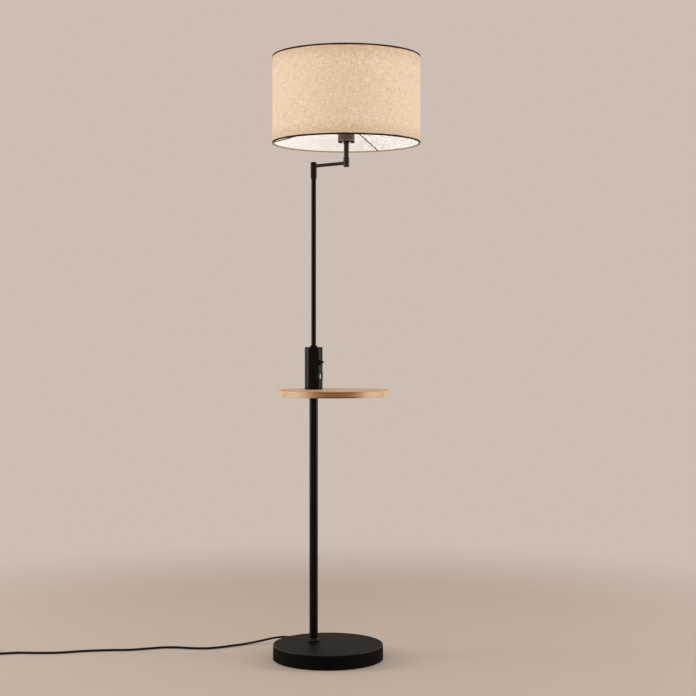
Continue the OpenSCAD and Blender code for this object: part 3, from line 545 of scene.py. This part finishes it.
# %% Staves and grain
table_low, table_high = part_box("table_top")
table_centre = (table_low + table_high) / 2
stave_w = 0.042
light_wood, pale_wood = srgb(197, 158, 117), srgb(219, 189, 152)
brown_wood, dark_wood = srgb(160, 102, 43), srgb(52, 27, 9)
wood, shader, place = new_finish("oak", light_wood, 0.46, Specular_IOR_Level=0.4)
x, y, z = place.xyz()
dx, dy = x - table_centre.x, y - table_centre.y
along = across.x * dx + across.y * dy
ahead = -1 * (sight.x * dx + sight.y * dy)  # from the table's middle towards the camera
stave = ahead / stave_w + 0.5
stave_number = stave.maths("FLOOR")
tone = stave_number.node("TexWhiteNoise", {"noise_dimensions": "1D"}, {"W": stave_number})
shift = tone * 3.7  # so that no stave goes on with its neighbour's grain
waver = along.joined(ahead, z).noise(9, 2) - 0.5
streaks = (along * 7 + shift).joined(ahead * 260 + waver * 9, z * 260).noise(1, 4)
pores = (along * 60 + shift).joined(ahead * 1500, z * 1500).noise(1, 2).between(0.62, 0.7)
body = (streaks * 0.75 + tone * 0.3 + waver * 0.3).between(0.25, 0.8).mix(pale_wood, light_wood)
on_rim = (table_high.z - z).between(0.0, 0.0006)
joint = abs(stave.maths("FRACT") - 0.5).between(0.492, 0.5) * (1 - 0.75 * on_rim)
print(f"wood with staves {stave_w * 1000:.0f} mm wide")

# %% Brown front rim and pores
brown_from, brown_fade = 0.119, 0.0275  # ahead of the middle
arris_from, arris_dark = 0.0048, 0.0064  # up or down from the middle of its thickness
# Brown on the side towards the camera: fully on the rim, faintly on the top.
brown_line = ahead + 0.05 * along + (0.004 * waver + 0.003 * (streaks - 0.5))
front_brown = brown_line.between(brown_from, brown_from + brown_fade) * (0.12 + 0.88 * on_rim)
layers = (along * 5).joined(z * 700, ahead * 12).noise(1, 3).between(0.42, 0.72)
# Painted shade: darker lines near the rim's upper and lower edges, within the brown part.
arris_shade = abs(z - table_centre.z).between(arris_from, arris_dark)
front_tone = (0.45 * layers + 0.95 * arris_shade).mix(brown_wood, dark_wood)
coloured = front_brown.mix(body, front_tone)
(0.45 * pores + 0.5 * joint).mix(coloured, dark_wood).into(shader, "Base Color")
(0.40 + 0.14 * streaks + 0.2 * pores).into(shader, "Roughness")
(streaks * 0.6 - pores * 0.8 - joint * 0.9).raise_surface(shader, 0.00012)
finishes["wood"] = wood
print(f"brown_rim from {brown_from * 1000:.0f} mm ahead of the middle")

# %% [markdown]
# ## Metals inside and out
# Plated and turned parts differ in colour and in how they were made. Rolled and plated parts
# have cloudy patches, and turned parts have fine lines round their upright axis, which noise
# gives when it changes much faster with the height. Cast iron keeps the grain of its sand mould.

# %% Metals
def plated(name, colour, roughness, cloud_waves):
    material, shader, place = new_finish(name, colour, roughness, Metallic=1.0)
    clouds = place.noise(cloud_waves, 3)
    clouds.between(0.3, 0.7).mix(shade_of(colour, 0.86), shade_of(colour, 1.08)).into(
        shader, "Base Color")
    (roughness + 0.16 * (clouds - 0.5)).into(shader, "Roughness")
    clouds.raise_surface(shader, 0.00002)
    return material


def turned(name, colour, roughness):
    material, shader, place = new_finish(name, colour, roughness, Metallic=1.0)
    x, y, z = place.xyz()
    lines = (x * 30).joined(y * 30, z * 4200).noise(1, 2)
    lines.mix(shade_of(colour, 0.82), shade_of(colour, 1.1)).into(shader, "Base Color")
    (roughness + 0.15 * (lines - 0.5)).into(shader, "Roughness")
    lines.raise_surface(shader, 0.00002)
    return material


for name, colour, roughness, cloud_waves in (
        ("zinc", (0.60, 0.62, 0.65, 1), 0.36, 260),
        ("lever_chrome", (0.07, 0.066, 0.06, 1), 0.2, 90),
        ("nickel", (0.70, 0.67, 0.62, 1), 0.24, 260),
        ("dull_nickel", (0.09, 0.088, 0.085, 1), 0.34, 400)):
    finishes[name] = plated(name, colour, roughness, cloud_waves)
finishes["steel"] = turned("steel", (0.55, 0.55, 0.56, 1), 0.34)
finishes["brass"] = turned("brass", (0.78, 0.58, 0.28, 1), 0.30)

iron, shader, place = new_finish("cast_iron", (0.045, 0.044, 0.045, 1), 0.72, Metallic=0.4)
sand = 0.6 * place.noise(420, 2) + 0.4 * place.noise(70, 3)
sand.mix((0.03, 0.03, 0.031, 1), (0.07, 0.066, 0.062, 1)).into(shader, "Base Color")
(0.62 + 0.25 * sand).into(shader, "Roughness")
sand.raise_surface(shader, 0.0004)
finishes["cast_iron"] = iron
print("with seven metals there are", len(finishes), "finishes")

# %% [markdown]
# ## Plastics, rubber and foam
# Moulded parts copy the grain of their mould: a fine, even pebble. A soft vinyl sheath is
# smoother and a little uneven along its length. Foam is a field of cells, so its bump comes
# from a Voronoi texture, which measures the distance to the nearest cell's middle.

# %% Plastics
def moulded(name, colour, roughness, gloss, pebble_waves, pebble_height):
    material, shader, place = new_finish(name, colour, roughness, Specular_IOR_Level=gloss)
    pebble = place.noise(pebble_waves, 1)
    patches = place.noise(40, 2)
    patches.mix(shade_of(colour, 0.85), shade_of(colour, 1.15)).into(shader, "Base Color")
    (roughness + 0.10 * (patches - 0.5) + 0.08 * (pebble - 0.5)).into(shader, "Roughness")
    pebble.raise_surface(shader, pebble_height)
    return material


for name, colour, roughness, gloss, pebble_waves, pebble_height in (
        ("black_plastic", srgb(11, 10, 10), 0.44, 0.12, 1400, 0.00004),
        ("white_plastic", srgb(226, 224, 218), 0.38, 0.5, 1400, 0.00004),
        ("board", srgb(24, 70, 46), 0.5, 0.5, 1400, 0.00004),
        ("lead_white", srgb(226, 222, 212), 0.5, 0.5, 500, 0.00004),
        ("cord_black", srgb(9, 8, 8), 0.46, 0.15, 420, 0.00006)):
    finishes[name] = moulded(name, colour, roughness, gloss, pebble_waves, pebble_height)

foam, shader, place = new_finish("foam", srgb(28, 28, 28), 0.9)
cells = place.node("TexVoronoi", {}, {"Vector": place, "Scale": 900}, "Distance")
cells.mix(srgb(20, 20, 20), srgb(44, 44, 44)).into(shader, "Base Color")
(1 - cells).raise_surface(shader, 0.0003)
finishes["foam"] = foam
print("with five plastics and foam there are", len(finishes), "finishes")

# %% [markdown]
# ## Linen of the shade
# The shade is linen on a stiff lining, and the lamp is on. Two things make it look like linen
# from a step away: slubs, the thick places in its yarns, which run level and upright, and light
# that comes through it and is weaker near the rims. Level and upright streaks are noise in
# coordinates that follow the drum, the distance round it and the height. The glow is an emission
# whose colour varies with the weave, and its strength is a constant of the shader.

# %% Yarns and slubs
def turn_round(centre, x, y):
    """The angle of a place round an upright axis: 0 in front, and a right angle on the right."""
    right = x - centre.x
    return right.maths("ARCTAN2", right, centre.y - y)


shade_low, shade_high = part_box("shade_fabric")
shade_centre = (shade_low + shade_high) / 2
shade_r = (shade_high.x - shade_low.x) / 2
shade_half = (shade_high.z - shade_low.z) / 2
yarn = 0.0009
slub_along, slub_across = 50, 380  # waves in a metre, along the yarn and across it
thick_from, thin_from = (0.57, 0.74), (0.43, 0.26)
linen_deep, linen_clear = srgb(144, 130, 118), srgb(172, 160, 152)
linen, shader, place = new_finish(
    "linen", linen_clear, 0.92, Emission_Strength=0.54, Sheen_Weight=0.04,
    Specular_IOR_Level=0.2)
x, y, z = place.xyz()
round_m = turn_round(shade_centre, x, y) * shade_r
level_slub = (round_m * slub_along).joined(z * slub_across, 0.0).noise(1, 2)
upright_slub = (round_m * slub_across).joined(z * slub_along, 5.0).noise(1, 2)
thick = level_slub.between(*thick_from) + upright_slub.between(*thick_from)
thin = level_slub.between(*thin_from) + upright_slub.between(*thin_from)
cloud = round_m.joined(z, 9.0).noise(95, 4)
knot = place.noise(260, 1).between(0.66, 0.76)
fibre = 0.5 + 0.5 * (cloud - 0.5) + 0.42 * (thin - thick) - 0.35 * knot
fibre.mix(linen_deep, linen_clear).into(shader, "Base Color")
weave = 0.5 + 0.5 * ((round_m * (math.pi / yarn)).maths("SINE")
                     * (z * (math.pi / yarn)).maths("SINE"))
(0.5 * weave + 0.5 * thick).raise_surface(shader, 0.00018)
finishes["linen"] = linen
print(f"linen with a yarn each {yarn * 1000:.1f} mm, {2 * math.pi * shade_r:.2f} m round")

# %% Light through the linen
glow_dim = (0.62, 0.38, 0.17, 1)
glow_rosy, glow_straw = (1.07, 0.80, 0.53, 1), (1.05, 0.82, 0.44, 1)
# The glow weakens from this far inside the rim to this far outside it
rim_fade_in, rim_fade_out = 0.045, 0.002
warmth = round_m.joined(z, 17.0).noise(30, 3).between(0.28, 0.72)
near_rim = abs(z - shade_centre.z).between(shade_half - rim_fade_in, shade_half + rim_fade_out)
(fibre - 0.55 * near_rim - 0.08 * (weave - 0.5)).mix(
    glow_dim, warmth.mix(glow_rosy, glow_straw)).into(shader, "Emission Color")
print(f"the glow weakens over the last {rim_fade_in * 1000:.0f} mm to each rim")

# %% [markdown]
# ## Lining, tape and the bulb
# The lining is a white plastic sheet that the bulb lights from inside, so it is given a small
# painted glow. The tape that closes both rims is a dark ribbed ribbon: its ribs run along the
# drum's axis. Inside, the bulb shines right on it, so there it gets a painted glow: pale, and
# olive at the very edge. The bulb's globe is opal plastic and glows evenly.

# %% Lining
glow_from, glow_full = 0.02, 0.125  # above and below the drum's middle
lining, shader, place = new_finish("lining", srgb(238, 234, 231), 0.6, Emission_Strength=0.10)
x, y, z = place.xyz()
sheet_clouds = place.noise(14, 2)
near_rim = abs(z - shade_centre.z).between(glow_from, glow_full)
sheet_clouds.mix(srgb(232, 228, 224), srgb(242, 239, 237)).into(shader, "Base Color")
(near_rim * 0.8 + 0.2 * sheet_clouds).mix((0.12, 0.11, 0.10, 1), (0.84, 0.78, 0.82, 1)).into(
    shader, "Emission Color")
place.noise(600, 1).raise_surface(shader, 0.00003)
finishes["lining"] = lining
print(f"the lining's glow grows from {glow_from * 1000:.0f} mm off its middle")

# %% Tape
ribs_round = 1500  # round the whole drum
rib_height = 0.00012
inner_face = (shade_r - 0.0005, shade_r - 0.0015)  # the tape's inner face is nearer the axis
olive_edge = (0.0018, 0.0036)  # from the rim
tape, shader, place = new_finish(
    "tape", srgb(42, 27, 14), 0.85, Emission_Strength=1.0, Specular_IOR_Level=0.2)
x, y, z = place.xyz()
rib = 0.5 + 0.5 * (turn_round(shade_centre, x, y) * ribs_round).maths("SINE")
rib.mix(srgb(30, 18, 8), srgb(54, 36, 20)).into(shader, "Base Color")
# The inner face's glow is painted light, for the bulb's light on it: pale, and olive at the very
# edge.
inside = distance(x - shade_centre.x, y - shade_centre.y).between(*inner_face)
from_edge = shade_half - abs(z - shade_centre.z)
lit = from_edge.between(*olive_edge).mix((0.31, 0.24, 0.14, 1), (0.88, 0.80, 0.64, 1))
inside.mix(black, lit).into(shader, "Emission Color")
rib.raise_surface(shader, rib_height)
finishes["tape"] = tape
print(f"the tape has a rib each {2 * math.pi * shade_r * 1000 / ribs_round:.1f} mm")

# %% Globe
opal, shader, place = new_finish("opal", srgb(246, 242, 234), 0.35, Emission_Strength=0.55)
haze = place.noise(30, 2)
haze.mix((1.0, 0.88, 0.72, 1), (1.0, 0.93, 0.80, 1)).into(shader, "Emission Color")
haze.mix(srgb(243, 238, 228), srgb(248, 245, 238)).into(shader, "Base Color")
finishes["opal"] = opal
print(f"{len(finishes)} finishes")

# %% [markdown]
# ## Dress the model's pieces
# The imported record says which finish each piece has, so one loop gives every piece its material.
# A few pieces share a finish with others in the record but look different in the photo, so a
# second loop gives them their own.

# %% Finish every piece of the model
for part in frame["record"]["subparts"]:
    for material_slot in nodes[part["node"]].material_slots:
        material_slot.material = finishes[part["material_slot"]]
for name, finish in (("base_cover", "base_coat"), ("stem", "stem_lit_coat"),
                     ("end_sleeve", "stem_lit_coat"), ("swing_arm", "arm_lit_coat"),
                     ("pole_sleeve", "arm_lit_coat"), ("usb_shell", "dull_nickel")):
    nodes[name].material_slots[0].material = finishes[finish]
for piece in (mains_cord, cord_tie):
    piece.data.materials.append(finishes["cord_black"])

# %% [markdown]
# ## The linen drum
# The cloth is one strip, wrapped round the lining and glued where its ends lap, at the back. It
# could be a plain tube, but then the lap wouldn't show, so it is a hoop with a cut that changes
# round the drum: the last centimetre lies on the first one.

# %% Hoops round the shade's axis
crease = math.radians(50)  # faces that meet at more than this keep a sharp edge


def hoop(name, cut_at, steps, finish):
    """A closed hoop whose cut at an angle is a loop of (radius, height) points."""
    vertices, faces = [], []
    for step in range(steps):
        angle = 2 * math.pi * step / steps + math.pi  # starts at the back
        cut = cut_at(2 * math.pi * step / steps)
        vertices += [(shade_centre.x + radius * math.sin(angle),
                      shade_centre.y - radius * math.cos(angle), height)
                     for radius, height in cut]
    count = len(cut)
    for step in range(steps):
        here, after = step * count, (step + 1) % steps * count
        for k in range(count):
            k_next = (k + 1) % count
            faces.append((here + k, after + k, after + k_next, here + k_next))
    mesh = bpy.data.meshes.new(name)
    mesh.from_pydata(vertices, [], faces)
    shaped = bmesh.new()
    shaped.from_mesh(mesh)
    bmesh.ops.recalc_face_normals(shaped, faces=shaped.faces)
    shaped.to_mesh(mesh)
    shaped.free()
    mesh.shade_smooth()
    mesh.set_sharp_from_angle(angle=crease)
    mesh.materials.append(finishes[finish])
    piece = placed(name, mesh)
    print(f"{name} has {len(faces)} faces")
    return piece


# %% Drum of cloth
cloth_t = 0.0006
cloth_h = shade_high.z - shade_low.z
cloth_rows, cloth_steps = 12, 720  # up the drum and round it
lap_w, lap_t = 0.010, 0.0005  # how far the ends lap, and how much the lap stands out
lap_angle = lap_w / shade_r


def cloth_cut(angle):
    """The cloth's cut: up its outer face and down its inner one."""
    outside = shade_r + (lap_t if angle < lap_angle else 0)
    heights = [shade_low.z + cloth_h * i / cloth_rows for i in range(cloth_rows + 1)]
    return ([(outside, height) for height in heights]
            + [(shade_r - cloth_t, height) for height in reversed(heights)])


linen_drum = hoop("linen_drum", cloth_cut, cloth_steps, "linen")
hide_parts("shade_fabric")
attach(linen_drum, "arm")
print(f"cloth of {2 * math.pi * shade_r + lap_w:.3f} by {cloth_h:.3f} m")

# %% [markdown]
# ## Tape round the rims
# On a real drum shade the edging tape is folded under the rim, tucked round the wire ring that
# stiffens it, and glued to the lining. So its cut is a path: down the outside, round a soft
# corner, along the underside and round the ring. The ribbon is thin, so the path is drawn twice,
# once for its outer face and once for its inner one. The tape is glued on by hand, so its edges
# wander by a fraction of a millimetre.

# %% Path of the tape
tape_low, tape_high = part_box("shade_tapes")
wire_low, wire_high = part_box("shade_top_ring")
tape_t = 0.00035
tape_leg = 0.0045  # how far it comes up the drum's outside
tape_bend = 0.0009  # radius of its corner under the rim
tape_outside = (tape_high.x - tape_low.x) / 2
wire_half = (wire_high.z - wire_low.z) / 2
ring_r = (wire_high.x - wire_low.x) / 2 - wire_half
ring_in = tape_high.z - (wire_low.z + wire_high.z) / 2
tape_inside = ring_r + wire_half + 0.0001  # where it is glued to the lining
tape_flap = 0.0004  # how far it goes on up the lining
ring_gap = 0.00005  # between the wire ring and the tape


def tape_face(depth, leg, over_lap):
    """One face of the tape: radius and distance from the rim; depth is how far it lies inside."""
    bend = tape_bend - depth
    around = wire_half + ring_gap + tape_t - depth
    outside = tape_outside - depth + over_lap
    corner = [(outside - bend + bend * math.cos(t), depth + bend - bend * math.sin(t))
              for t in (math.pi * i / 8 for i in range(5))]
    bead = [(ring_r + around * math.cos(t), ring_in + around * math.sin(t))
            for t in (-math.pi / 2 - math.pi * i / 10 for i in range(11))]
    return [(outside, leg)] + corner + bead + [(tape_inside, ring_in + around + tape_flap)]


print(f"the tape's path has {len(tape_face(0, tape_leg, 0))} points")

# %% Rim tapes
tape_steps = 360
wander_max = 0.00022
lap_rise = 0.0006  # how far the tape stands out over the cloth's lap
after_lap, before_lap = 0.002, 0.02  # angles over which it still does so


def tape_cut(angle, rim, inward):
    """The ribbon's cut; inward is +1 when the shade lies above the rim, and -1 when below."""
    leg = tape_leg + wander_max * (math.sin(9 * angle) + 0.6 * math.sin(23 * angle + 1.3))
    on_lap = angle < lap_angle + after_lap or angle > 2 * math.pi - before_lap
    over_lap = lap_rise if on_lap else 0
    faces = tape_face(0, leg, over_lap) + tape_face(tape_t, leg, over_lap)[::-1]
    return [(radius, rim + inward * height) for radius, height in faces]


for name, rim, inward in (("rim_tape_low", tape_low.z, 1), ("rim_tape_high", tape_high.z, -1)):
    rim_tape = hoop(name, lambda angle: tape_cut(angle, rim, inward), tape_steps, "tape")
    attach(rim_tape, "arm")
    if inward == 1:
        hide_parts("shade_tapes")
print(f"tapes {tape_leg * 1000:.1f} mm high on both rims")

# %% [markdown]
# ## The floor
# The floor is a plain pale disc that fades out, so no edge of it shows from any side.

# %% Floor
floor_r, floor_below = 4, 0.0005
fade_from, fade_to = 1.0, 2.3  # distance from the base, where the floor turns see-through
floor_finish, shader, place = new_finish(
    "floor", srgb(198, 182, 168), 0.7, Specular_IOR_Level=0.2)
x, y, z = place.xyz()
(1 - distance(x, y).between(fade_from, fade_to)).into(shader, "Alpha")
floor_mesh = bpy.data.meshes.new("floor")
floor_shape = bmesh.new()
bmesh.ops.create_circle(floor_shape, cap_ends=True, segments=96, radius=floor_r)
floor_shape.to_mesh(floor_mesh)
floor_shape.free()
floor_mesh.materials.append(floor_finish)
floor = placed("floor", floor_mesh)
floor.location.z = -floor_below
print(f"the floor fades out from {fade_from:.0f} m")

# %% [markdown]
# ## Light and backdrop
# The world gives an even light, and where the camera or a reflection looks at it, a warm pale
# backdrop. Two tall soft boxes, one on each side, draw the long highlights down both sides of
# the poles: an upright tube shows only what stands at its own height, so the boxes reach down to
# the floor. They stand far off, past the end of the floor, so they draw no bright pool on it.

# %% World
world_light = (0.54, 0.525, 0.51, 1)
backdrop_colour = srgb(205, 190, 179)
world = bpy.data.worlds.new("studio")
world.use_nodes = True
bpy.context.scene.world = world
background = world.node_tree.nodes["Background"]
rays = Socket(background.outputs[0]).node("LightPath", output="Is Camera Ray")
seen = rays.maths("MAXIMUM", rays, rays.also("Is Glossy Ray"))
seen = seen.maths("MAXIMUM", seen, rays.also("Is Transmission Ray"))
seen.mix(world_light, backdrop_colour).into(background, "Color")
print(f"the world's light is {world_light[0]:.2f} of white")

# %% Soft boxes
def soft_lamp(name, spot, target, width, height, watts, colour):
    """A soft box that faces its target."""
    lamp_data = bpy.data.lights.new(name, "AREA")
    lamp_data.shape = "RECTANGLE"
    lamp_data.size, lamp_data.size_y = width, height
    lamp_data.energy = watts
    lamp_data.color = colour
    lamp = placed(name, lamp_data)
    lamp.location = spot
    aim(lamp, target - spot)


middle = 0.9 * upright
left_spot = middle - 3.6 * across + 0.25 * upright
right_spot = middle + 3.8 * across + 0.25 * upright
front_spot = middle - 2.6 * sight + 1.6 * upright
soft_lamp("left_lamp", left_spot, middle, 1.0, 2.1, 78, (1, 0.97, 0.94))
soft_lamp("right_lamp", right_spot, middle, 1.0, 2.1, 78, (1, 0.97, 0.95))
soft_lamp("front_lamp", front_spot, middle, 1.2, 1.2, 20, (1, 0.98, 0.96))
print("three soft lamps")

# %% [markdown]
# ## Light from the bulb
# The cloth and the lining glow by themselves, but a real bulb also lights the wires, the cup and
# what lies below the shade. A small warm lamp inside the globe does that, and moves with the arm.
# The globe must not block it, so the globe casts no shadow.

# %% Light in the bulb
globe_low, globe_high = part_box("bulb_globe")
bulb_data = bpy.data.lights.new("bulb_glow", "POINT")
bulb_data.energy = 0.85
bulb_data.color = (1, 0.96, 0.90)
bulb_data.shadow_soft_size = 0.026
bulb_glow = placed("bulb_glow", bulb_data)
bulb_glow.location = (globe_low + globe_high) / 2
bulb_glow.visible_camera = False
bulb_glow.visible_glossy = False
nodes["bulb_globe"].visible_shadow = False
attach(bulb_glow, "arm")
print(f"the bulb shines from {bulb_glow.location.z:.2f} m")
